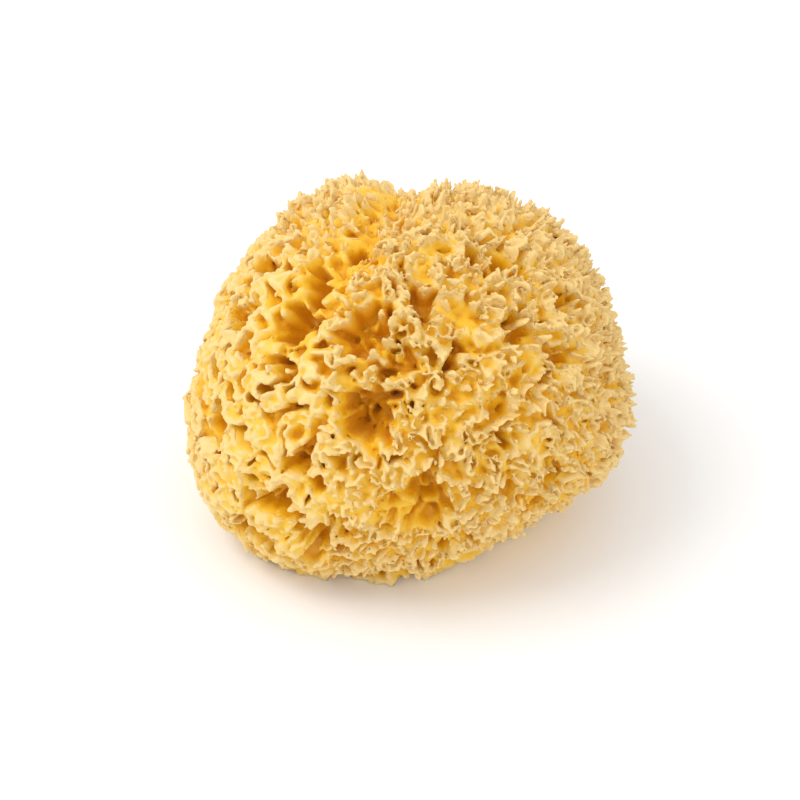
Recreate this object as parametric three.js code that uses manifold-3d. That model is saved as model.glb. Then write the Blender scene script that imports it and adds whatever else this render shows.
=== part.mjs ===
// A natural bath sponge: the dried fibre skeleton of one animal, grown as a lobed dome and trimmed flat
// underneath. Its upper surface is pierced by the mouths of its water channels, the oscula.
// Lengths are in millimetres and angles in degrees. +Z is up, and -Y is the side with the widest mouth.
// The origin is the middle of the flat base.
import * as THREE from "three";
import { mergeVertices } from "three/addons/utils/BufferGeometryUtils.js";
import Module from "manifold-3d";

const wasm = await Module();
wasm.setup();

// The dome before its lobes: an egg-shaped body round a growth centre that stands above the base.
const HALF_LENGTH = 66.5;
const HALF_DEPTH = 61;
const HALF_HEIGHT = 60;
const PLAN_TURN = 15.5;
const CENTRE_HEIGHT = 43;
const DOME_DETAIL = 13;

// Lobes and hollows of the body: azimuth from +X, elevation, spread, and swelling as a share of the radius.
const LOBES = [
  { azimuth: -150, elevation: -30, spread: 30, swell: 0.125 },
  { azimuth: -13, elevation: -12, spread: 18, swell: 0.065 },
  { azimuth: -48, elevation: -40, spread: 30, swell: -0.08 },
  { azimuth: 120, elevation: 46, spread: 18, swell: 0.07 },
  { azimuth: 167, elevation: 15, spread: 26, swell: -0.045 },
  { azimuth: 90, elevation: 50, spread: 12, swell: -0.07 },
  { azimuth: 5, elevation: 10, spread: 16, swell: -0.055 },
  { azimuth: 60, elevation: -10, spread: 24, swell: 0.04 },
  { azimuth: 110, elevation: 5, spread: 22, swell: -0.035 },
];

// Low bumps between neighbouring channel mouths, over the whole dome.
const BUMP_COUNT = 190;
const BUMP_SPREAD = 6.5;
const BUMP_HEIGHT = 2.4;

// The oscula that face -Y, each a round-ended channel pointing at the growth centre.
const FRONT_OSCULA = [
  { azimuth: -104, elevation: 27, width: 16, depth: 16 },
  { azimuth: -84, elevation: 5, width: 12.5, depth: 13 },
  { azimuth: -140, elevation: 45, width: 11, depth: 12 },
  { azimuth: -147, elevation: 57, width: 9, depth: 9 },
  { azimuth: -107, elevation: 51, width: 12.5, depth: 11 },
  { azimuth: -151, elevation: 72, width: 7, depth: 8 },
  { azimuth: -136, elevation: 33, width: 9, depth: 9 },
  { azimuth: -94, elevation: 43, width: 7.5, depth: 9 },
  { azimuth: -80, elevation: 59, width: 8, depth: 8 },
  { azimuth: -37, elevation: 69, width: 9, depth: 8 },
  { azimuth: -26, elevation: 58, width: 10, depth: 9 },
  { azimuth: -74, elevation: 44, width: 7.5, depth: 8 },
  { azimuth: -118, elevation: 9, width: 7.5, depth: 8 },
  { azimuth: -127, elevation: -1, width: 10, depth: 9 },
  { azimuth: -117, elevation: -13, width: 9, depth: 8 },
  { azimuth: -50, elevation: 1, width: 11.5, depth: 9 },
  { azimuth: -42, elevation: 47, width: 8, depth: 8 },
  { azimuth: -36, elevation: 33, width: 8, depth: 8 },
  { azimuth: -176, elevation: 46, width: 8, depth: 8 },
  { azimuth: -164, elevation: 36, width: 7, depth: 8 },
  { azimuth: -17, elevation: 41, width: 8, depth: 7 },
  { azimuth: -149, elevation: 9, width: 8, depth: 8 },
  { azimuth: -66, elevation: 22, width: 7, depth: 8 },
  { azimuth: -20, elevation: 14, width: 8, depth: 8 },
];

// The rest of the dome carries smaller oscula at an even spacing, each with its own width and depth.
const SPREAD_OSCULA = 84;
const SMALLEST_WIDTH = 6;
const WIDEST_WIDTH = 11;
const DEPTH_FOR_WIDTH = 1;
const CLEAR_ANGLE = 17;
const LOWEST_ELEVATION = -24;
const CHANNEL_SIDES = 9;
const CHANNEL_RINGS = 3;
const FLARE = 1.25;

// How far the cutting block and the channels' outer ends reach past the body.
const CUT_MARGIN = 20;

const SPONGE_COLOUR = 0xf0cb78;

/** Unit vector for an azimuth from +X and an elevation above the horizon. */
function heading(azimuth, elevation) {
  const polar = THREE.MathUtils.degToRad(90 - elevation);
  const turn = THREE.MathUtils.degToRad(azimuth);
  return new THREE.Vector3(
    Math.sin(polar) * Math.cos(turn),
    Math.sin(polar) * Math.sin(turn),
    Math.cos(polar),
  );
}

/** The i-th of count directions that cover a sphere evenly, in a golden-angle spiral. */
function spiralHeading(i, count) {
  const height = 1 - (2 * (i + 0.5)) / count;
  const turn = Math.PI * (3 - Math.sqrt(5)) * i;
  const across = Math.sqrt(1 - height * height);
  return new THREE.Vector3(across * Math.cos(turn), across * Math.sin(turn), height);
}

/** A repeatable share from 0 to 1 for the i-th piece of a pattern. */
function share(i) {
  const wave = Math.sin((i + 1) * 12.9898) * 43758.5453;
  return wave - Math.floor(wave);
}

const lobeHeadings = LOBES.map(({ azimuth, elevation }) => heading(azimuth, elevation));
const bumpHeadings = Array.from({ length: BUMP_COUNT }, (_, i) => spiralHeading(i, BUMP_COUNT));

/** Distance from the growth centre to the skin of the egg-shaped body with its lobes. */
function bodyRadius(direction) {
  const flat = direction.clone().applyAxisAngle(
    new THREE.Vector3(0, 0, 1),
    -THREE.MathUtils.degToRad(PLAN_TURN),
  );
  const egg = 1 / Math.hypot(flat.x / HALF_LENGTH, flat.y / HALF_DEPTH, flat.z / HALF_HEIGHT);
  let swelling = 0;
  LOBES.forEach(({ spread, swell }, i) => {
    const away = THREE.MathUtils.radToDeg(direction.angleTo(lobeHeadings[i])) / spread;
    swelling += swell * Math.exp(-away * away);
  });
  return egg * (1 + swelling);
}

/** Height of the low bumps above the body's skin, in one direction. */
function bumpHeight(direction) {
  const radius = (HALF_LENGTH + HALF_DEPTH + HALF_HEIGHT) / 3;
  let height = 0;
  bumpHeadings.forEach((bump, i) => {
    const away = (direction.angleTo(bump) * radius) / BUMP_SPREAD;
    height += BUMP_HEIGHT * (0.5 + share(i)) * Math.exp(-away * away);
  });
  return height - BUMP_HEIGHT / 2;
}

/** A manifold-3d solid from a closed three.js geometry. */
function solidFrom(geometry) {
  const bare = geometry.clone();
  bare.deleteAttribute("normal");
  bare.deleteAttribute("uv");
  const merged = mergeVertices(bare, 1e-3);
  return new wasm.Manifold(
    new wasm.Mesh({
      numProp: 3,
      vertProperties: merged.attributes.position.array,
      triVerts: new Uint32Array(merged.index.array),
    }),
  );
}

/** A three.js geometry from a manifold-3d solid. */
function geometryFrom(solid) {
  const mesh = solid.getMesh();
  return new THREE.BufferGeometry()
    .setAttribute("position", new THREE.BufferAttribute(mesh.vertProperties, 3))
    .setIndex(new THREE.BufferAttribute(mesh.triVerts, 1));
}

/** The lobed dome, whole, round the growth centre. */
function domeGeometry() {
  const dome = new THREE.IcosahedronGeometry(HALF_LENGTH, DOME_DETAIL);
  const position = dome.attributes.position;
  const point = new THREE.Vector3();
  for (let i = 0; i < position.count; i += 1) {
    point.fromBufferAttribute(position, i).normalize();
    const radius = bodyRadius(point) + bumpHeight(point);
    position.setXYZ(i, point.x * radius, point.y * radius, point.z * radius);
  }
  return dome;
}

/** One osculum: a channel with a round end, flared towards its mouth, pointing at the growth centre. */
function channelGeometry({ direction, width, depth }) {
  const skin = bodyRadius(direction);
  const radius = width / 2;
  const roundCentre = skin - depth + radius;
  const profile = [];
  for (let ring = 0; ring <= CHANNEL_RINGS; ring += 1) {
    const angle = ((ring / CHANNEL_RINGS) * Math.PI) / 2;
    profile.push(
      new THREE.Vector2(radius * Math.sin(angle), roundCentre - radius * Math.cos(angle)),
    );
  }
  profile[0].x = 0;
  profile.push(new THREE.Vector2(radius * FLARE, skin + radius / 2));
  profile.push(new THREE.Vector2(radius * FLARE, skin + CUT_MARGIN));
  profile.push(new THREE.Vector2(0, skin + CUT_MARGIN));
  const channel = new THREE.LatheGeometry(profile, CHANNEL_SIDES);
  const toHeading = new THREE.Quaternion().setFromUnitVectors(
    new THREE.Vector3(0, 1, 0),
    direction,
  );
  return channel.applyQuaternion(toHeading);
}

/** Every osculum: those placed by hand, then those spread over what is left of the dome. */
function oscula() {
  const placed = FRONT_OSCULA.map(({ azimuth, elevation, width, depth }) => ({
    direction: heading(azimuth, elevation),
    width,
    depth,
  }));
  const clear = THREE.MathUtils.degToRad(CLEAR_ANGLE);
  for (let i = 0; i < SPREAD_OSCULA; i += 1) {
    const direction = spiralHeading(i, SPREAD_OSCULA);
    const elevation = 90 - THREE.MathUtils.radToDeg(direction.angleTo(new THREE.Vector3(0, 0, 1)));
    const width = THREE.MathUtils.lerp(SMALLEST_WIDTH, WIDEST_WIDTH, share(i));
    if (elevation < LOWEST_ELEVATION) continue;
    if (placed.some((other) => other.direction.angleTo(direction) < clear)) continue;
    placed.push({ direction, width, depth: width * DEPTH_FOR_WIDTH });
  }
  return placed;
}

/** The block that trims the dome flat at the base. */
function trimmingBlock() {
  const side = 2 * (HALF_LENGTH + CUT_MARGIN);
  return new THREE.BoxGeometry(side, side, side).translate(0, 0, -CENTRE_HEIGHT - side / 2);
}

/** The sponge's solid, with its origin in the middle of its base. */
function spongeGeometry() {
  let solid = solidFrom(domeGeometry());
  for (const osculum of oscula()) {
    solid = solid.subtract(solidFrom(channelGeometry(osculum)));
  }
  solid = solid.subtract(solidFrom(trimmingBlock()));
  const geometry = geometryFrom(solid);
  geometry.computeBoundingBox();
  const { min, max } = geometry.boundingBox;
  return geometry.translate(-(min.x + max.x) / 2, -(min.y + max.y) / 2, -min.z);
}

const spongeMaterial = new THREE.MeshStandardMaterial({
  color: SPONGE_COLOUR,
  roughness: 0.85,
  metalness: 0,
});

const part = new THREE.Group();
const sponge = new THREE.Mesh(spongeGeometry(), spongeMaterial);
sponge.name = "sponge";
part.add(sponge);

export default part;
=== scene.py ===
"""A natural bath sponge, dried, bleached to a pale honey and trimmed flat underneath.

The body is a maze of soft walls round rounded hollows, pierced by the wide mouths of the water channels.
The crests of the walls carry a fringe of knobbed fingers. Both are level surfaces of one growth pattern, a
form that no mesh operator makes, so they are worked out on a grid of cells and meshed from it.

Lengths are millimetres unless a name says otherwise; a mesh is scaled to metres when it is made. +Z is up
and -Y is the side with the widest mouth.
"""

import enum
import logging
import math
from collections.abc import Callable
from dataclasses import dataclass
from typing import NamedTuple

import bmesh
import bpy
import numpy as np
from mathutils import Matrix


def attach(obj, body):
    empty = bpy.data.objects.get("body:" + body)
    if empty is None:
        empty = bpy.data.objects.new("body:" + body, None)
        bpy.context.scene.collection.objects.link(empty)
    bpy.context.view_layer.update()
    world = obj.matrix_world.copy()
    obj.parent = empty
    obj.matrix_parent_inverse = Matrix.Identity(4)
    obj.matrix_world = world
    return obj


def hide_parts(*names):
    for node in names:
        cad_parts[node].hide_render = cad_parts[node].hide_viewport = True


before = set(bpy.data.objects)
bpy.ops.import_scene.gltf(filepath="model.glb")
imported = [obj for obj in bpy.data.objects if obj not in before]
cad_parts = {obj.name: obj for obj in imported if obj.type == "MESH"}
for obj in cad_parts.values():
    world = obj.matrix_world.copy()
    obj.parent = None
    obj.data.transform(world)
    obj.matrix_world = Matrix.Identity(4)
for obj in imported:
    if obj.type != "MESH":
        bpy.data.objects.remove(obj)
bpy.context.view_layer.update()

import openvdb
from mathutils import Vector
from mathutils.bvhtree import BVHTree

NODE = "sponge"
BODY = "root"
MM = 0.001
GROWTH_CENTRE = np.array([0.2, 0.0, 43.0], np.float32)
MEAN_RADIUS = 62.0
# The vertex attribute that holds painted shade: how far the colour is deepened in hollows and clefts.
HOLLOW_SHADE = "hollow_shade"

log = logging.getLogger("sponge")


def heading(azimuth: float, elevation: float) -> np.ndarray:
    """Turns a heading into a direction.

    Args:
        azimuth: Degrees round from +X towards +Y.
        elevation: Degrees above the horizon.

    Returns:
        A unit vector.
    """
    turn = math.radians(azimuth)
    rise = math.radians(elevation)
    across = math.cos(rise)
    return np.array([across * math.cos(turn), across * math.sin(turn), math.sin(rise)], np.float32)


def ease(value: np.ndarray, low: float, high: float) -> np.ndarray:
    """A smooth step from 0 at low to 1 at high. It falls instead of rising where low is the larger."""
    t = np.clip((value - low) / (high - low), 0.0, 1.0)
    return t * t * (3.0 - 2.0 * t)


def soft_min(a: np.ndarray, b: np.ndarray, blend: float) -> np.ndarray:
    """The smaller of two fields, rounded where they meet over a distance of about blend."""
    h = np.clip(0.5 + 0.5 * (b - a) / blend, 0.0, 1.0)
    return b + (a - b) * h - blend * h * (1.0 - h)


def soft_max(a: np.ndarray, b: np.ndarray, blend: float) -> np.ndarray:
    """The larger of two fields, rounded where they meet over a distance of about blend."""
    return -soft_min(-a, -b, blend)


class Swirl:
    """A cube of smooth noise that repeats without a seam, with waves of nearly one length."""

    SIZE = 80
    WAVES = 10

    def __init__(self, seed: int, spread: float = 0.35) -> None:
        """Makes the cube.

        Args:
            seed: Fixes the pattern.
            spread: How much the wavelengths differ, as a share of their mean.
        """
        white = np.random.default_rng(seed).standard_normal((self.SIZE,) * 3)
        spectrum = np.fft.rfftn(white)
        along = np.fft.fftfreq(self.SIZE) * self.SIZE
        half = np.fft.rfftfreq(self.SIZE) * self.SIZE
        waves = np.sqrt(along[:, None, None] ** 2 + along[None, :, None] ** 2 + half**2)
        spectrum *= np.exp(-(((waves / self.WAVES - 1) / spread) ** 2))
        cube = np.fft.irfftn(spectrum, s=(self.SIZE,) * 3, axes=(0, 1, 2)).astype(np.float32)
        self.cube = cube / cube.std()
        slopes = [(np.roll(self.cube, -1, axis) - np.roll(self.cube, 1, axis)) / 2 for axis in range(3)]
        self.slope = np.sqrt(sum(s * s for s in slopes)) * (self.SIZE / self.WAVES)

    def at(self, points: np.ndarray, wavelength: float, with_slope: bool = False) -> list[np.ndarray]:
        """Reads the noise at points.

        Args:
            points: Places, one row each.
            wavelength: Mean length of a wave, in the points' units.
            with_slope: Also reads how fast the noise changes, per wavelength.

        Returns:
            The noise, with a mean of 0 and a deviation of 1, and the slope if asked for.
        """
        place = points * (self.SIZE / (self.WAVES * wavelength))
        base = np.floor(place).astype(np.int32)
        part = (place - base).astype(np.float32)
        low = base % self.SIZE
        high = (low + 1) % self.SIZE
        rows = [(low[:, 0] * self.SIZE**2, high[:, 0] * self.SIZE**2)]
        rows.append((low[:, 1] * self.SIZE, high[:, 1] * self.SIZE))
        rows.append((low[:, 2], high[:, 2]))
        read = []
        for cube in [self.cube.ravel(), self.slope.ravel()][: 2 if with_slope else 1]:
            planes = []
            for x in rows[0]:
                lines = []
                for y in rows[1]:
                    near = cube[x + y + rows[2][0]]
                    far = cube[x + y + rows[2][1]]
                    lines.append(near + (far - near) * part[:, 2])
                planes.append(lines[0] + (lines[1] - lines[0]) * part[:, 1])
            read.append(planes[0] + (planes[1] - planes[0]) * part[:, 0])
        return read


class Zone(enum.Enum):
    """Stretches of the surface that grew differently.

    Each is the azimuth and elevation of its middle, then how far from there it is whole and where it has
    died away, all in degrees.
    """

    SMOOTH = (-163.0, 6.0, 42.0, 66.0)
    BRISTLY = (25.0, 45.0, 45.0, 90.0)
    TRIMMED = (-38.0, -38.0, 30.0, 52.0)

    def share(self, directions: np.ndarray) -> np.ndarray:
        """How fully directions lie in this stretch.

        Args:
            directions: Unit vectors, one row each.

        Returns:
            A share for each, from 0 outside to 1 where the stretch is whole.
        """
        azimuth, elevation, full, gone = self.value
        facing = directions @ heading(azimuth, elevation)
        return ease(facing, math.cos(math.radians(gone)), math.cos(math.radians(full)))


@dataclass(frozen=True)
class Valley:
    """The furrow that parts the two humps of the crown.

    It follows a chain of headings. Its half width is a share of the distance from the growth centre.
    """

    headings: tuple[tuple[float, float], ...] = ((90, 46), (100, 70), (-160, 77), (-142, 60), (-138, 43))
    depth: float = 5.0
    half_width: float = 0.12

    def dip(self, directions: np.ndarray) -> np.ndarray:
        """How far the surface sinks into the furrow.

        Args:
            directions: Unit vectors, one row each.

        Returns:
            Millimetres for each.
        """
        farthest = 4.0
        nearest = np.full(len(directions), farthest, np.float32)
        for start, end in zip(self.headings, self.headings[1:]):
            base = heading(*start)
            run = heading(*end) - base
            offset = directions - base
            share = np.clip(offset @ run / (run @ run), 0, 1)
            nearest = np.minimum(nearest, ((offset - share[:, None] * run) ** 2).sum(1))
        return self.depth * np.exp(-nearest / self.half_width**2)


class Cavern(enum.Enum):
    """The widest oscula: azimuth and elevation in degrees, then half width and depth."""

    MAIN = (-103.0, 29.0, 12.5, 8.5)
    LOWER = (-88.0, 1.0, 11.5, 7.5)

    def sink(self, directions: np.ndarray) -> np.ndarray:
        """How far the surface sinks: to a flat floor, with slopes round it.

        Args:
            directions: Unit vectors, one row each.

        Returns:
            Millimetres for each.
        """
        azimuth, elevation, half_width, depth = self.value
        floor_share = 0.55
        away = np.sqrt(((directions - heading(azimuth, elevation)) ** 2).sum(1)) * MEAN_RADIUS
        return depth * ease(away, half_width, floor_share * half_width)


class Skin:
    """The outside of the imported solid, as a distance from the growth centre in each direction."""

    ROWS = 180
    COLUMNS = 360
    # How many rows and columns a channel mouth is bridged over in the skin with no channels.
    HULL_ROWS = 4
    HULL_COLUMNS = 6
    # Wavelength and swing of the wander that makes the round channel mouths ragged.
    RAGGED = ((13.0, 2.0), (5.0, 1.2))
    AXIS_SHIFT = 37

    def __init__(self, node: bpy.types.Object) -> None:
        """Measures the skin of a node by looking outwards from the growth centre.

        Args:
            node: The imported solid, in metres.
        """
        copy = bmesh.new()
        copy.from_mesh(node.data)
        bmesh.ops.remove_doubles(copy, verts=copy.verts, dist=1e-6)
        tree = BVHTree.FromBMesh(copy)
        copy.free()
        centre = Vector(GROWTH_CENTRE * MM)
        self.radii = np.zeros((self.ROWS + 1, self.COLUMNS), np.float32)
        for row in range(self.ROWS + 1):
            for column in range(self.COLUMNS):
                elevation = 180.0 * row / self.ROWS - 90.0
                azimuth = 360.0 * column / self.COLUMNS - 180.0
                distance = tree.ray_cast(centre, Vector(heading(azimuth, elevation)))[3]
                self.radii[row, column] = (distance or 0.0) / MM
        # The median of nine neighbours leaves out a ray that slipped between two triangles.
        around = [np.roll(self.radii, (row, column), (0, 1)) for row in (-1, 0, 1) for column in (-1, 0, 1)]
        self.radii = np.median(around, axis=0).astype(np.float32)
        self.ragged = Swirl(17, 0.5)
        self.valley = Valley()
        self.hull_radii = self.radii
        for rows in range(-self.HULL_ROWS, self.HULL_ROWS + 1):
            for columns in range(-self.HULL_COLUMNS, self.HULL_COLUMNS + 1):
                moved = np.roll(self.radii, (rows, columns), (0, 1))
                self.hull_radii = np.maximum(self.hull_radii, moved)

    def read(self, radii: np.ndarray, directions: np.ndarray) -> np.ndarray:
        """Looks distances up in a table by elevation and azimuth.

        Args:
            radii: The table, from straight down to straight up and once round.
            directions: Unit vectors, one row each.

        Returns:
            The distance in each direction, read between the table's entries.
        """
        y = (np.arcsin(np.clip(directions[:, 2], -1, 1)) / math.pi + 0.5) * self.ROWS
        x = (np.arctan2(directions[:, 1], directions[:, 0]) / math.tau + 0.5) * self.COLUMNS
        row = np.clip(np.floor(y).astype(np.int32), 0, self.ROWS - 1)
        column = np.floor(x).astype(np.int32)
        up = (y - row).astype(np.float32)
        on = (x - column).astype(np.float32)
        left = column % self.COLUMNS
        right = (column + 1) % self.COLUMNS
        lower = radii[row, left] * (1 - on) + radii[row, right] * on
        upper = radii[row + 1, left] * (1 - on) + radii[row + 1, right] * on
        return lower * (1 - up) + upper * up

    def surface(self, directions: np.ndarray) -> np.ndarray:
        """The skin, which dips into ragged channel mouths and the furrow.

        Args:
            directions: Unit vectors, one row each.

        Returns:
            Its distance from the growth centre in each direction.
        """
        places = directions * MEAN_RADIUS
        moved = directions.copy()
        for wave, swing in self.RAGGED:
            for axis in range(3):
                wander = self.ragged.at(places + self.AXIS_SHIFT * axis, wave)[0]
                moved[:, axis] += wander * (swing / MEAN_RADIUS)
        moved /= np.sqrt((moved**2).sum(1))[:, None]
        surface = self.read(self.radii, moved) - self.valley.dip(directions)
        whole = self.hull(directions)
        for cavern in Cavern:
            surface = np.minimum(surface, whole - cavern.sink(moved))
        return surface

    def hull(self, directions: np.ndarray) -> np.ndarray:
        """Distance to the skin as it would be with no channels."""
        return self.read(self.hull_radii, directions)


def polar(points: np.ndarray) -> tuple[np.ndarray, np.ndarray]:
    """Measures points from the growth centre.

    Args:
        points: Places, one row each.

    Returns:
        Their directions, as unit vectors, and their distances.
    """
    offset = points - GROWTH_CENTRE
    distance = np.sqrt((offset**2).sum(1))
    return offset / np.maximum(distance, 1e-3)[:, None], distance


def box_blur(grid: np.ndarray, reach: int, passes: int = 3) -> np.ndarray:
    """Smooths a grid with running means.

    Args:
        grid: The grid, which counts as 0 beyond its edges.
        reach: How many cells a mean reaches to each side.
        passes: How often it is taken along each axis.

    Returns:
        The smoothed grid.
    """
    width = 2 * reach + 1
    for axis in (0, 1, 2) * passes:
        pad = [(0, 0)] * 3
        pad[axis] = (reach + 1, reach)
        total = np.cumsum(np.pad(grid, pad), axis=axis, dtype=np.float32)
        ahead = np.take(total, np.arange(width, total.shape[axis]), axis=axis)
        behind = np.take(total, np.arange(0, total.shape[axis] - width), axis=axis)
        grid = (ahead - behind) / width
    return grid


def smooth_mesh(
    name: str, vertices: np.ndarray, triangles: np.ndarray, hollow_shade: np.ndarray
) -> bpy.types.Object:
    """A smooth-shaded object from triangles.

    Args:
        name: The object's name.
        vertices: Places in millimetres, one row each.
        triangles: Three vertex numbers in each row.
        hollow_shade: The painted shade at each vertex, from 0 on a crest to 1 deep in a channel.

    Returns:
        The object, linked to the scene.
    """
    mesh = bpy.data.meshes.new(name)
    mesh.vertices.add(len(vertices))
    mesh.vertices.foreach_set("co", (vertices * MM).astype(np.float32).ravel())
    mesh.loops.add(triangles.size)
    mesh.loops.foreach_set("vertex_index", triangles.astype(np.int32).ravel())
    mesh.polygons.add(len(triangles))
    mesh.polygons.foreach_set("loop_start", np.arange(0, triangles.size, 3, dtype=np.int32))
    mesh.update(calc_edges=True)
    mesh.validate()
    mesh.polygons.foreach_set("use_smooth", np.ones(len(mesh.polygons), bool))
    layer = mesh.attributes.new(HOLLOW_SHADE, "FLOAT", "POINT")
    layer.data.foreach_set("value", hollow_shade.astype(np.float32))
    thing = bpy.data.objects.new(name, mesh)
    bpy.context.scene.collection.objects.link(thing)
    return thing


def triangles_of(mesh: bpy.types.Mesh) -> tuple[np.ndarray, np.ndarray]:
    """Reads a mesh.

    Args:
        mesh: The mesh, in metres.

    Returns:
        Its vertices' places in millimetres and its triangles' vertex numbers, one row each.
    """
    mesh.calc_loop_triangles()
    vertices = np.empty(len(mesh.vertices) * 3, np.float32)
    mesh.vertices.foreach_get("co", vertices)
    triangles = np.empty(len(mesh.loop_triangles) * 3, np.int32)
    mesh.loop_triangles.foreach_get("vertices", triangles)
    return vertices.reshape(-1, 3) / MM, triangles.reshape(-1, 3)


class Layers(NamedTuple):
    """What the growth pattern says at some points.

    The walls, the core and the plate are distances into fibre, so positive is inside. The rest are how far
    a point is below the skin, how far the crests drop under it and are notched there, how fully the point
    lies in a zone or a channel mouth, the fine bumps, and its height as a share of the rim's.
    """

    depth: np.ndarray
    wall: np.ndarray
    drop: np.ndarray
    notch: np.ndarray
    core: np.ndarray
    plate: np.ndarray
    smooth: np.ndarray
    bristly: np.ndarray
    mouth: np.ndarray
    bumps: np.ndarray
    above_rim: np.ndarray


class Draw(enum.Enum):
    """How fast a pattern changes inwards: at 0 it runs straight to the growth centre, at 1 it is free."""

    NOTCHES = 0.2
    RIBS = 0.25
    WALLS = 0.35
    PORES = 0.6

    def drawn(self, directions: np.ndarray, distance: np.ndarray) -> np.ndarray:
        """The points at some directions and distances, with the distances drawn towards their mean."""
        drawn_distance = MEAN_RADIUS + self.value * (distance - MEAN_RADIUS)
        return GROWTH_CENTRE + directions * drawn_distance[:, None]


@dataclass
class GrowthPattern:
    """Where the fibre grows: winding walls round hollows, on a solid core, with a trimmed base."""

    skin: Skin
    # The walls: the length of their winding, half their thickness, and how they thicken inwards. Near the
    # skin they bend and twist more, except in the smooth stretch, where they are thick and calm.
    wall_wave: float = 9.6
    wall_half: float = 1.25
    wall_growth: float = 0.10
    smooth_wall: float = 0.45
    least_slope: float = 2.2
    bend_wave: float = 9.0
    bend: float = 0.8
    shallow_bend: float = 0.5
    twist_wave: float = 4.5
    shallow_twist: float = 0.45
    shallow_reach: float = 8.0
    calm: float = 0.7
    rib_wave: float = 2.9
    rib_height: float = 0.22
    # Their crests: how far they lie under the skin, in slow dips, and the notches that part the fingers.
    notch_wave: float = 2.8
    notch_bend: float = 0.5
    notch_steepness: float = 1.8
    notch_height: float = 1.15
    dip_wave: float = 11.0
    dip_depth: float = 1.0
    crest_drop: float = 2.6
    # The channel mouths and the furrow, where crests stand higher and hollows are shallower.
    mouth_starts: float = 3.0
    mouth_whole: float = 9.0
    furrow_share: float = 0.5
    mouth_crest: float = 0.5
    mouth_core: float = 0.3
    # The core, which is the floor of the hollows, with its lumps and round pores.
    core_depth: float = 5.2
    smooth_core: float = 0.8
    core_wave: float = 22.0
    core_swing: float = 1.0
    pore_wave: float = 5.5
    pit_starts: float = 1.15
    pit_whole: float = 1.75
    pit_depth: float = 3.6
    floor_lump: float = 0.5
    bump_wave: float = 1.65
    # The trimmed base: a plate, pierced by pores, with a smooth rim.
    plate_height: float = 2.6
    plate_inset: float = 0.8
    plate_pore: float = 4.0
    plate_pore_starts: float = 0.9
    rim_height: float = 4.0
    trimmed_height: float = 11.0
    rim_starts: float = 0.1

    def __post_init__(self) -> None:
        """Makes the noises, each from its own seed."""
        self.walls = Swirl(11)
        self.dips = Swirl(12)
        self.drift = Swirl(13, 0.5)
        self.notches = Swirl(14, 0.5)
        self.ribs = Swirl(15, 0.6)
        self.pores = Swirl(16)

    def wander(self, along: np.ndarray) -> tuple[np.ndarray, np.ndarray]:
        """How far the pattern is pushed aside, so that the walls don't look regular.

        Args:
            along: Points, one row each.

        Returns:
            A slow bend and a quick twist at each point, as vectors.
        """
        bend = np.stack([self.drift.at(along + shift, self.bend_wave)[0] for shift in (0, 31, 57)], 1)
        twist = np.stack([self.notches.at(along + shift, self.twist_wave)[0] for shift in (0, 23, 47)], 1)
        return bend, twist

    def read(self, points: np.ndarray, directions: np.ndarray, distance: np.ndarray) -> Layers:
        """Works out the pattern at some points.

        Args:
            points: Places, one row each.
            directions: Their directions from the growth centre.
            distance: Their distances from the growth centre.

        Returns:
            The layers there.
        """
        depth = self.skin.surface(directions) - distance
        height = points[:, 2]
        smooth = Zone.SMOOTH.share(directions)
        bristly = Zone.BRISTLY.share(directions)
        along = Draw.WALLS.drawn(directions, distance)
        bend, twist = self.wander(along)

        shallow = np.clip(depth, 0, None)
        fade = np.exp(-shallow / self.shallow_reach)[:, None]
        rough = 1 - self.calm * smooth
        warped = along + bend * (self.bend + self.shallow_bend * fade)
        warped = warped + twist * (self.shallow_twist * fade * rough[:, None])
        noise, slope = self.walls.at(warped, self.wall_wave, True)
        middle = np.abs(noise) * self.wall_wave / np.maximum(slope, self.least_slope)
        rib = self.ribs.at(Draw.RIBS.drawn(directions, distance), self.rib_wave)[0] * self.rib_height * rough
        wall = self.wall_half + self.wall_growth * shallow + self.smooth_wall * smooth + rib - middle

        notched = Draw.NOTCHES.drawn(directions, distance) + bend * self.notch_bend
        peaks = self.notches.at(notched, self.notch_wave)[0]
        notch = np.tanh(peaks * self.notch_steepness) * self.notch_height
        notch += (peaks - notch) * bristly

        mouth = ease(self.skin.hull(directions) - distance - depth, self.mouth_starts, self.mouth_whole)
        furrow = self.skin.valley.dip(directions) / self.skin.valley.depth
        mouth = np.maximum(mouth, self.furrow_share * furrow)
        dip = self.dip_depth * self.dips.at(along, self.dip_wave)[0]
        drop = self.crest_drop * (1 - self.mouth_crest * mouth) + dip

        rim = self.rim_height + self.trimmed_height * Zone.TRIMMED.share(directions)
        filled = (1 - self.mouth_core * mouth) * ease(height, self.rim_starts * rim, rim)
        swing = self.core_swing * self.drift.at(along + 11, self.core_wave)[0]
        pores = self.pores.at(Draw.PORES.drawn(directions, distance), self.pore_wave)[0]
        pit = self.pit_depth * ease(pores, self.pit_starts, self.pit_whole)
        lumps = self.floor_lump * (pores + 0.5 * peaks)
        core = depth - (self.core_depth + self.smooth_core * smooth + swing) * filled - pit + lumps

        pierced = np.clip(pores - self.plate_pore_starts, 0, None) * self.plate_pore
        plate = np.minimum(depth - self.plate_inset, self.plate_height - height) - pierced
        bumps = self.ribs.at(points, self.bump_wave)[0]
        return Layers(depth, wall, drop, notch, core, plate, smooth, bristly, mouth, bumps, height / rim)


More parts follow.
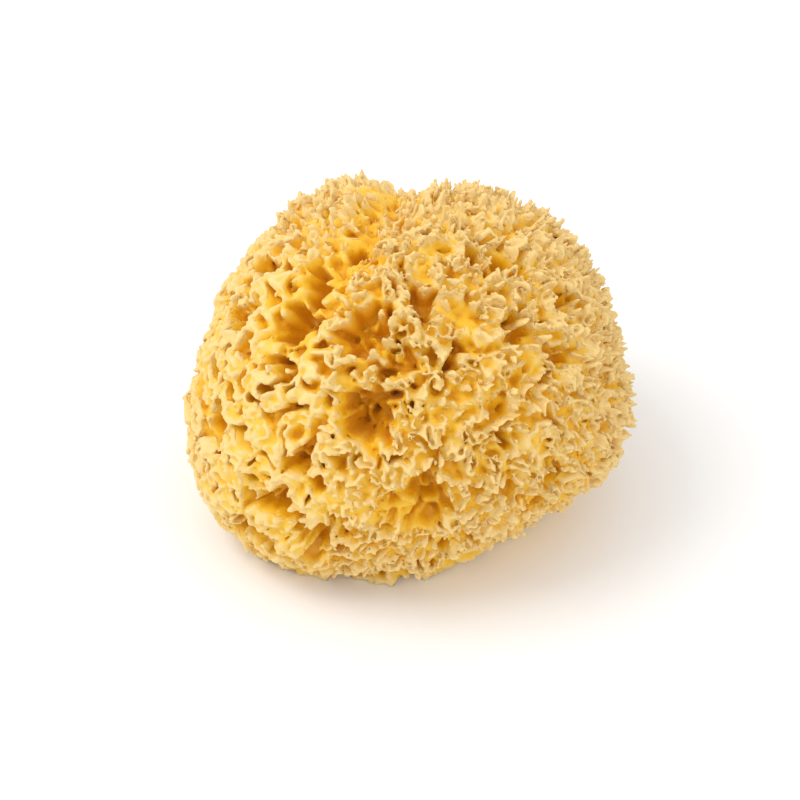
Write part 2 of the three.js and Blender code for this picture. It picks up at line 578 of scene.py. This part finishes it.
@dataclass
class Lattice:
    """A regular grid of cells round the sponge, which turns a field into a mesh."""

    cell: float
    band: float = 1.5
    reach: tuple[float, float, float] = (71.0, 66.0, 110.0)
    below: float = 1.2
    slab: int = 24

    def __post_init__(self) -> None:
        """Works out the cells' places."""
        far = np.array(self.reach)
        self.low_corner = np.array([-far[0], -far[1], -self.below])
        self.counts = np.ceil((far - self.low_corner) / self.cell).astype(int) + 1

    def fill(
        self, skin: Skin, deepest: float, base: float, inside: float, field_at: Callable[..., np.ndarray]
    ) -> np.ndarray:
        """Fills the grid, slab by slab.

        Args:
            skin: The skin that depths are measured from.
            deepest: How far below the skin the field is worked out.
            base: Height under which it is worked out at every depth.
            inside: The field between the deepest and the base.
            field_at: Gives the field from points, directions and distances.

        Returns:
            The field at each cell, held within the band.
        """
        grid = np.full(self.counts, -self.band, np.float32)
        lines = [self.low_corner[i] + self.cell * np.arange(self.counts[i]) for i in range(3)]
        for start in range(0, self.counts[0], self.slab):
            part = lines[0][start : start + self.slab]
            axes = np.meshgrid(part, lines[1], lines[2], indexing="ij")
            points = np.stack([axis.ravel() for axis in axes], 1).astype(np.float32)
            directions, distance = polar(points)
            depth = skin.read(skin.radii, directions) - distance
            sunk = skin.read(skin.hull_radii, directions) - distance
            near = (sunk > -self.band * 2) & ((depth < deepest + self.band) | (points[:, 2] < base))
            whole = np.where((depth > 0) & ~near, inside, -self.band).astype(np.float32)
            chosen = np.nonzero(near)[0]
            if len(chosen):
                whole[chosen] = field_at(points[chosen], directions[chosen], distance[chosen])
            whole = np.clip(np.minimum(whole, points[:, 2]), -self.band, self.band)
            grid[start : start + self.slab] = whole.reshape(axes[0].shape)
        return grid

    def mesh(self, grid: np.ndarray) -> tuple[np.ndarray, np.ndarray]:
        """Meshes the surface of a filled grid.

        Args:
            grid: Distance into the fibre at each cell.

        Returns:
            Vertices in millimetres and triangles that face outwards.
        """
        volume = openvdb.FloatGrid(background=self.band)
        volume.copyFromArray(-grid)
        points, triangles, quads = volume.convertToPolygons(isovalue=0.0, adaptivity=0.0)
        corners = np.concatenate([triangles, quads[:, :3], quads[:, [0, 2, 3]]]).astype(np.int32)
        return points * self.cell + self.low_corner, corners[:, ::-1]

    def sample(self, grid: np.ndarray, points: np.ndarray) -> np.ndarray:
        """Reads a grid between its cells.

        Args:
            grid: A value for each cell.
            points: Places, one row each.

        Returns:
            The value at each point.
        """
        place = (points - self.low_corner) / self.cell
        # Held just short of the last cell, so that each point has a next cell on every side.
        place = np.clip(place, 0, np.array(grid.shape) - 1.001)
        base = place.astype(np.int32)
        part = place - base
        value = 0.0
        for corner in np.ndindex(2, 2, 2):
            share = np.prod(np.where(corner, part, 1 - part), axis=1)
            value = value + share * grid[tuple((base + corner).T)]
        return value


def islands(count: int, triangles: np.ndarray) -> np.ndarray:
    """Finds which vertices hang together.

    Args:
        count: How many vertices there are.
        triangles: Three vertex numbers in each row.

    Returns:
        For each vertex, the lowest vertex number in its island.
    """
    label = np.arange(count)
    pairs = np.concatenate([triangles[:, :2], triangles[:, 1:]])
    while True:
        least = np.minimum(label[pairs[:, 0]], label[pairs[:, 1]])
        new = label.copy()
        np.minimum.at(new, pairs[:, 0], least)
        np.minimum.at(new, pairs[:, 1], least)
        new = new[new]
        if (new == label).all():
            return label
        label = new


def keep_vertices(
    vertices: np.ndarray, triangles: np.ndarray, kept: np.ndarray
) -> tuple[np.ndarray, np.ndarray]:
    """Cuts whole islands, or whole quarters, out of a mesh.

    Args:
        vertices: Places, one row each.
        triangles: Three vertex numbers in each row.
        kept: Whether each vertex stays; a triangle's three stay or go together.

    Returns:
        The vertices that stay and their triangles, renumbered.
    """
    number = np.cumsum(kept) - 1
    return vertices[kept], number[triangles[kept[triangles[:, 0]]]]


def thinned(vertices: np.ndarray, triangles: np.ndarray, target: int) -> tuple[np.ndarray, np.ndarray]:
    """A mesh brought down to a number of triangles, keeping its sharp places.

    Args:
        vertices: Places in millimetres.
        triangles: Three vertex numbers in each row.
        target: How many triangles may be left.

    Returns:
        Vertices in millimetres and triangles.
    """
    dense = smooth_mesh("dense", vertices, triangles, np.zeros(len(vertices)))
    modifier = dense.modifiers.new("thin", "DECIMATE")
    modifier.ratio = min(1.0, target / len(dense.data.polygons))
    graph = bpy.context.evaluated_depsgraph_get()
    mesh = bpy.data.meshes.new_from_object(dense.evaluated_get(graph))
    result = triangles_of(mesh)
    dense_mesh = dense.data
    bpy.data.objects.remove(dense)
    bpy.data.meshes.remove(dense_mesh)
    bpy.data.meshes.remove(mesh)
    return result


@dataclass(frozen=True)
class PaintedShade:
    """How much each cause moves the colour from that of a crest, at 0, to that of a channel's bottom, at 1.

    Most of it is painted shade. Light that comes out of a cleft or a channel has passed many fibres, so the
    colour there is painted deeper, and it is painted deeper towards the foot, where shade falls. A bare tip
    is painted paler, as a painted highlight. The bristly crown is bleached the most and the smooth side the
    least, which is the fibre's own tone.
    """

    # The first three causes and the foot paint shade, the tip paints a highlight, and the smooth and bristly
    # stretches set the fibre's own tone.
    shut_in_shade: float = 0.5
    sunk: float = 0.6
    cleft_shade: float = 0.34
    tip_highlight: float = 0.14
    smooth: float = 0.09
    bristly: float = 0.09
    foot_shade: float = 0.10
    # Where each cause starts to count, and where it counts in full.
    sunk_starts: float = 1.5
    sunk_reach: float = 8.5
    foot_starts: float = 45.0
    foot_whole: float = 12.0
    shut_in_starts: float = 0.2
    shut_in_whole: float = 0.75
    cleft_starts: float = 0.52
    cleft_whole: float = 0.78
    tip_starts: float = 0.46
    tip_whole: float = 0.26
    # A depth counts as at most this much more than the height, so the flat cut doesn't get the painted shade
    # of a deep hollow.
    base_cover: float = 6.0


@dataclass
class SpongeBody:
    """The body: walls, hollows and channels, meshed from a grid of distances into its fibre."""

    pattern: GrowthPattern
    cell: float = 0.6
    deepest: float = 24.0
    base: float = 14.0
    triangles: int = 192000
    notch_depth: float = 0.6
    most_drop: float = 7.0
    smooth_calm: float = 0.62
    crest_round: float = 0.9
    floor_round: float = 2.2
    plate_round: float = 1.0
    blur_cells: int = 3
    cleft_cells: int = 1
    painted_shade: PaintedShade = PaintedShade()

    def build(self) -> bpy.types.Object:
        """Makes the body.

        Returns:
            The body's object, with the painted shade of its hollows on its vertices.
        """
        self.lattice = Lattice(self.cell)
        solid = self.lattice.band
        grid = self.lattice.fill(self.pattern.skin, self.deepest, self.base, solid, self.fibre)
        self.grid = grid
        self.solidity = box_blur((grid > 0).astype(np.float32), self.blur_cells)
        vertices, triangles = thinned(*self.lattice.mesh(grid), self.triangles)
        label = islands(len(vertices), triangles)
        main = np.argmax(np.bincount(label))
        vertices, triangles = keep_vertices(vertices, triangles, label == main)
        # How closed in each point is, for the painted shade in clefts and the painted highlight on tips.
        closed = box_blur((grid > 0).astype(np.float32), self.cleft_cells, passes=2)
        hollow_shade = self.hollow_shade(vertices, self.lattice.sample(closed, vertices))
        return smooth_mesh("sponge_body", vertices, triangles, hollow_shade)

    def crest_drop(self, layers: Layers) -> np.ndarray:
        """How far under the skin the body's crests end."""
        drop = layers.drop + self.notch_depth * layers.notch
        return np.clip(drop * (1 - self.smooth_calm * layers.smooth), 0.0, self.most_drop)

    def fibre(self, points: np.ndarray, directions: np.ndarray, distance: np.ndarray) -> np.ndarray:
        """Works out the body's field.

        Args:
            points: Places, one row each.
            directions: Their directions from the growth centre.
            distance: Their distances from the growth centre.

        Returns:
            Rough distance into the body's fibre, negative outside it.
        """
        layers = self.pattern.read(points, directions, distance)
        crest = layers.depth - self.crest_drop(layers)
        fibre = soft_max(soft_min(layers.wall, crest, self.crest_round), layers.core, self.floor_round)
        return soft_max(fibre, layers.plate, self.plate_round)

    def hollow_shade(self, points: np.ndarray, closed: np.ndarray) -> np.ndarray:
        """The painted shade at points, from 0 on a crest to 1 at the bottom of a channel: their colour is
        deepened in hollows and clefts, and bare tips are painted paler.

        Args:
            points: Places on the surface, one row each.
            closed: Share of the millimetre round each point that is fibre: low on a tip, high in a cleft.

        Returns:
            A number for each point.
        """
        by = self.painted_shade
        directions, distance = polar(points)
        height = points[:, 2]
        depth = np.minimum(self.pattern.skin.hull(directions) - distance, height + by.base_cover)
        # Painted shade: the colour deepens where much fibre closes round a point and where it lies far below
        # the skin without channels.
        around = self.lattice.sample(self.solidity, points)
        shut_in_shade = ease(around, by.shut_in_starts, by.shut_in_whole)
        sunk = np.clip((depth - by.sunk_starts) / by.sunk_reach, 0, 1)
        # The fibre's own tone, paler on the bristly crown and deeper on the smooth side, with painted shade
        # and a painted highlight added below.
        tone_shade_and_highlight = by.smooth * Zone.SMOOTH.share(directions) - by.bristly * Zone.BRISTLY.share(directions)
        # Painted shade: the colour deepens towards the foot, where shade falls under the sponge.
        tone_shade_and_highlight += by.foot_shade * ease(height, by.foot_starts, by.foot_whole)
        # Painted shade: the colour deepens in the fine clefts between the fingers, as if lit only by light
        # that has passed the fibre.
        tone_shade_and_highlight += by.cleft_shade * ease(closed, by.cleft_starts, by.cleft_whole)
        # Painted highlight: bare tips, with little fibre round them, are painted paler.
        tone_shade_and_highlight -= by.tip_highlight * ease(closed, by.tip_starts, by.tip_whole)
        return np.clip(by.shut_in_shade * shut_in_shade + by.sunk * sunk + tone_shade_and_highlight, 0, 1)


@dataclass
class CrestFringe:
    """The knobbed fingers along the crests of the walls, meshed finer than the body they stand on.

    It is the same field as the body's, with deeper notches and bumps, and it is kept only near the crests.
    """

    body: SpongeBody
    cell: float = 0.42
    deepest: float = 6.5
    notch_depth: float = 1.35
    bristle_depth: float = 0.5
    rooted: float = 1.0
    thicker: float = 0.05
    proud: float = 1.2
    tip_round: float = 1.1
    bump: float = 0.55
    parting: float = 0.3
    buried: float = 0.15
    edge_lift: float = 0.6
    most_drop: float = 9.0
    bump_calm: float = 0.7
    mouth_drop: float = 3.5
    rim_drop: float = 5.0
    rim_starts: float = 1.1
    rim_whole: float = 0.3
    cleft_cells: int = 2
    triangles: int = 188000

    def build(self) -> list[bpy.types.Object]:
        """Makes the fringe.

        Returns:
            One object for each quarter of the surface.
        """
        lattice = Lattice(self.cell)
        grid = lattice.fill(self.body.pattern.skin, self.deepest, 0.0, -lattice.band, self.fibre)
        vertices, triangles = lattice.mesh(grid)
        log.info("fringe before thinning: %d triangles", len(triangles))
        closed = box_blur((grid > 0).astype(np.float32), self.cleft_cells, passes=2)
        offset = vertices - GROWTH_CENTRE
        # Two upright planes through the growth centre, at 45 degrees to X and Y, tell the quarters apart.
        quarter = (offset[:, 0] > offset[:, 1]) * 2 + (offset[:, 0] > -offset[:, 1])
        made = []
        for number, name in ((0, "left"), (2, "front"), (3, "right"), (1, "back")):
            part = thinned(*keep_vertices(vertices, triangles, quarter == number), self.triangles)
            vertices_here, triangles_here = self.rooted_only(*part)
            # The fringe gets the same painted shade as the body: deeper in its clefts, paler at its tips.
            hollow_shade = self.body.hollow_shade(vertices_here, lattice.sample(closed, vertices_here))
            made.append(smooth_mesh(f"crest_fringe_{name}", vertices_here, triangles_here, hollow_shade))
        return made

    def rooted_only(self, vertices: np.ndarray, triangles: np.ndarray) -> tuple[np.ndarray, np.ndarray]:
        """Leaves out the crumbs that don't reach into the body, or that thinning has pressed flat.

        Args:
            vertices: The fringe's places in millimetres.
            triangles: Three vertex numbers in each row.

        Returns:
            The vertices and triangles that stay.
        """
        label = islands(len(vertices), triangles)
        buried = self.body.lattice.sample(self.body.grid, vertices) > self.buried
        held = np.bincount(label, weights=buried, minlength=len(vertices)) > 0
        # An island of fewer than four vertices is two triangles back to back, which hold no fibre.
        held &= np.bincount(label, minlength=len(vertices)) >= 4
        return keep_vertices(vertices, triangles, held[label])

    def fibre(self, points: np.ndarray, directions: np.ndarray, distance: np.ndarray) -> np.ndarray:
        """Works out the fringe's field.

        Args:
            points: Places, one row each.
            directions: Their directions from the growth centre.
            distance: Their distances from the growth centre.

        Returns:
            Rough distance into the fringe's fibre, negative outside it and at the partings of the quarters.
        """
        layers = self.body.pattern.read(points, directions, distance)
        calm = 1 - self.body.smooth_calm * layers.smooth
        reach = self.notch_depth + self.bristle_depth * layers.bristly
        low = self.mouth_drop * layers.mouth
        low += self.rim_drop * ease(layers.above_rim, self.rim_starts, self.rim_whole)
        drop = (layers.drop - self.edge_lift + reach * layers.notch) * calm + low
        crest = layers.depth - np.clip(drop, -self.proud, self.most_drop)
        bumps = self.bump * layers.bumps * (1 - self.bump_calm * layers.smooth)
        wall = layers.wall + self.thicker + bumps
        root = self.body.crest_drop(layers) + self.rooted - layers.depth
        fringe = np.minimum(soft_min(wall, crest, self.tip_round), root)
        offset = points - GROWTH_CENTRE
        split = np.minimum(np.abs(offset[:, 0] - offset[:, 1]), np.abs(offset[:, 0] + offset[:, 1]))
        return np.minimum(fringe, split / math.sqrt(2) - self.parting)


def linear(colour: str) -> tuple[float, float, float, float]:
    """Turns a colour into the linear light that shaders take.

    Args:
        colour: An sRGB hex value, with its #.

    Returns:
        Red, green, blue and an alpha of 1.
    """
    parts = [int(colour[i : i + 2], 16) / 255 for i in (1, 3, 5)]
    light = [c / 12.92 if c <= 0.04045 else ((c + 0.055) / 1.055) ** 2.4 for c in parts]
    return (*light, 1.0)


def add_node(
    tree: bpy.types.NodeTree, kind: str, settings: dict | None = None, **links: bpy.types.NodeSocket
) -> bpy.types.Node:
    """Adds a shader node.

    Args:
        tree: The material's node tree.
        kind: The node's type name.
        settings: Its own properties, and its inputs' values by socket name or number.
        links: Output sockets to join to its inputs, named with _ for a space.

    Returns:
        The new node.
    """
    node = tree.nodes.new(kind)
    for key, value in (settings or {}).items():
        if isinstance(key, str) and hasattr(node, key):
            setattr(node, key, value)
        else:
            node.inputs[key].default_value = value
    for key, socket in links.items():
        name = int(key[1:]) if key[1:].isdigit() and key[0] == "n" else key.replace("_", " ")
        tree.links.new(socket, node.inputs[name])
    return node


@dataclass(frozen=True)
class BleachedSpongin:
    """Bath sponge fibre: a horny protein net, bleached in a bath and dried in the air.

    Thin fibre at the crests scatters light and looks cream. Light that has bounced about in a hollow has
    passed the fibre many times, so it comes back yellow and then amber; the colour ramp paints this as
    painted shade, deeper in colour the deeper the hollow. The surface is a felt of fibres 0.03 mm thick,
    drawn here as a bump of 0.5 mm, which is as fine as shows. The fibre's horn gives it a dull gleam, and its
    loose ends a faint paleness where the surface turns away.
    """

    # The first colour is the fibre's own cream at the crests; the rest are painted shade, ever deeper yellow
    # and amber down the walls and into the hollows and channel bottoms.
    crest: str = "#e9c982"
    wall: str = "#ecbf46"
    hollow_shade: str = "#edba28"
    deep_shade: str = "#e9af0c"
    bottom_shade: str = "#dc9a02"
    stops: tuple[float, ...] = (0.06, 0.32, 0.55, 0.78, 1.0)
    felt_wave_mm: float = 0.5
    lump_wave_mm: float = 2.4
    patch_wave_mm: float = 24.0
    patch: float = 0.22
    speckle: float = 0.3
    felt_share: float = 0.35
    bump: float = 0.5
    bump_depth_mm: float = 0.35
    gleam: float = 0.35
    ior: float = 1.5
    roughness: float = 0.45
    down: float = 0.18
    down_roughness: float = 0.5
    down_tint: str = "#ffe9b8"

    def material(self) -> bpy.types.Material:
        """Makes the finish.

        Returns:
            The material, which reads the painted shade of the hollows from the mesh's own attribute.
        """
        material = bpy.data.materials.new("bleached_spongin")
        material.use_nodes = True
        tree = material.node_tree
        tree.nodes.clear()
        place = add_node(tree, "ShaderNodeTexCoord").outputs["Object"]
        # The painted shade from the mesh's attribute picks the colour on the ramp.
        painted_shade_level = add_node(tree, "ShaderNodeAttribute", {"attribute_name": HOLLOW_SHADE}).outputs["Fac"]
        # Each noise's wavelength, and how many times finer noise is laid over it.
        waves = ((self.patch_wave_mm, 3.0), (self.lump_wave_mm, 3.0), (self.felt_wave_mm, 2.0))
        patch, lump, felt = [
            add_node(
                tree, "ShaderNodeTexNoise", {"Scale": 1 / (wave_mm * MM), "Detail": detail}, Vector=place
            ).outputs["Fac"]
            for wave_mm, detail in waves
        ]
        # Each noise is brought to a range of the size of its swing, with 0 in the middle.
        shift, speck = [
            add_node(
                tree, "ShaderNodeMath", {"operation": "MULTIPLY_ADD", 1: swing, 2: -swing / 2}, n0=noise
            ).outputs[0]
            for noise, swing in ((patch, self.patch), (lump, self.speckle))
        ]
        level = add_node(tree, "ShaderNodeMath", {"operation": "ADD"}, n0=painted_shade_level, n1=shift).outputs[0]
        level = add_node(tree, "ShaderNodeMath", {"operation": "ADD"}, n0=level, n1=speck).outputs[0]
        # From the fibre's own cream at 0 to the deepest painted shade at 1, shifted by random patches and
        # speckles of tone.
        ramp = add_node(tree, "ShaderNodeValToRGB", Fac=level)
        colours = (self.crest, self.wall, self.hollow_shade, self.deep_shade, self.bottom_shade)
        elements = ramp.color_ramp.elements
        while len(elements) < len(colours):
            elements.new(0.5)
        for element, position, colour in zip(elements, self.stops, colours):
            element.position = position
            element.color = linear(colour)
        rise = add_node(
            tree, "ShaderNodeMath", {"operation": "MULTIPLY_ADD", 1: self.felt_share}, n0=felt, n2=lump
        ).outputs[0]
        bump = add_node(
            tree, "ShaderNodeBump", {"Strength": self.bump, "Distance": self.bump_depth_mm * MM}, Height=rise
        ).outputs[0]
        shader = add_node(
            tree,
            "ShaderNodeBsdfPrincipled",
            {
                "Roughness": self.roughness,
                "IOR": self.ior,
                "Specular IOR Level": self.gleam,
                "Sheen Weight": self.down,
                "Sheen Roughness": self.down_roughness,
                "Sheen Tint": linear(self.down_tint),
            },
            Base_Color=ramp.outputs["Color"],
            Normal=bump,
        )
        add_node(tree, "ShaderNodeOutputMaterial", Surface=shader.outputs[0])
        return material


@dataclass(frozen=True)
class SoftLight:
    """A square soft light: its place and the length of its sides in millimetres, and its power in watts."""

    name: str
    place: tuple[float, float, float]
    side: float
    power: float

    def build(self, height: float) -> None:
        """Makes the light, facing the middle of the sponge.

        Args:
            height: How high the middle of the sponge is, in millimetres.
        """
        data = bpy.data.lights.new(self.name, "AREA")
        data.size = self.side * MM
        data.energy = self.power
        light = bpy.data.objects.new(self.name, data)
        light.location = Vector(self.place) * MM
        towards = Vector((0, 0, height)) - Vector(self.place)
        light.rotation_mode = "QUATERNION"
        light.rotation_quaternion = towards.to_track_quat("-Z", "Y")
        bpy.context.scene.collection.objects.link(light)


@dataclass
class Studio:
    """The pale floor, the soft lights and the camera.

    The camera looks down by its elevation, in degrees. Its view is centred on a point so far to the right
    and up from the origin, and its distance is measured from the sponge's middle, at the plane's height.
    """

    elevation: float = 40.0
    distance: float = 562.0
    lens: float = 85.0
    aim: tuple[float, float] = (-2.7, 26.3)
    plane_height: float = 50.0
    floor_side: float = 4000.0
    floor_colour: str = "#f4f4f4"
    floor_roughness: float = 0.9
    lights: tuple[SoftLight, ...] = (
        SoftLight("key_light", (-500.0, -100.0, 800.0), 500.0, 3.5),
        SoftLight("fill_light", (600.0, -500.0, 500.0), 600.0, 1.0),
    )
    sky: float = 0.96

    def build(self) -> None:
        """Makes the floor, the lights and the camera."""
        self.floor()
        self.camera()
        for light in self.lights:
            light.build(self.plane_height)
        world = bpy.data.worlds.new("studio")
        world.use_nodes = True
        world.node_tree.nodes["Background"].inputs["Strength"].default_value = self.sky
        world.node_tree.nodes["Background"].inputs["Color"].default_value = (1, 1, 1, 1)
        bpy.context.scene.world = world
        bpy.context.scene.view_settings.view_transform = "Standard"

    def floor(self) -> None:
        """A plain pale floor at the height of the sponge's base."""
        bm = bmesh.new()
        bmesh.ops.create_grid(bm, x_segments=1, y_segments=1, size=self.floor_side * MM / 2)
        mesh = bpy.data.meshes.new("floor")
        bm.to_mesh(mesh)
        bm.free()
        floor = bpy.data.objects.new("floor", mesh)
        bpy.context.scene.collection.objects.link(floor)
        # Studio background paper is matt, so it takes a soft shadow and shows no gleam.
        material = bpy.data.materials.new("matt_paper")
        material.use_nodes = True
        shader = material.node_tree.nodes["Principled BSDF"]
        shader.inputs["Base Color"].default_value = linear(self.floor_colour)
        shader.inputs["Roughness"].default_value = self.floor_roughness
        mesh.materials.append(material)

    def camera(self) -> None:
        """The camera, above and in front of the widest channel mouth."""
        rise = math.radians(self.elevation)
        back = Vector((0, -math.cos(rise), math.sin(rise)))
        up = Vector((0, math.sin(rise), math.cos(rise)))
        aim = Vector((1, 0, 0)) * self.aim[0] + up * self.aim[1]
        aim += back * ((Vector((0, 0, self.plane_height)) - aim).dot(back))
        data = bpy.data.cameras.new("camera")
        data.lens = self.lens
        data.sensor_width = 36
        camera = bpy.data.objects.new("camera", data)
        camera.location = (aim + back * self.distance) * MM
        camera.rotation_mode = "QUATERNION"
        camera.rotation_quaternion = (-back).to_track_quat("-Z", "Y")
        bpy.context.scene.collection.objects.link(camera)
        bpy.context.scene.camera = camera


def dress(thing: bpy.types.Object, material: bpy.types.Material) -> None:
    """Gives a piece its finish and its place in the frame, and reports it.

    Args:
        thing: The piece.
        material: Its finish.
    """
    thing.data.materials.append(material)
    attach(thing, BODY)
    log.info("%s: %d triangles", thing.name, len(thing.data.polygons))


def main() -> None:
    """Builds the sponge and its studio."""
    logging.basicConfig(level=logging.INFO, format="%(relativeCreated)6d ms %(message)s")
    skin = Skin(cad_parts[NODE])
    body = SpongeBody(GrowthPattern(skin))
    surface = body.build()
    material = BleachedSpongin().material()
    dress(surface, material)
    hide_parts(NODE)
    for fringe in CrestFringe(body).build():
        dress(fringe, material)
    Studio().build()
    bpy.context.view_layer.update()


if __name__ == "__main__":
    main()
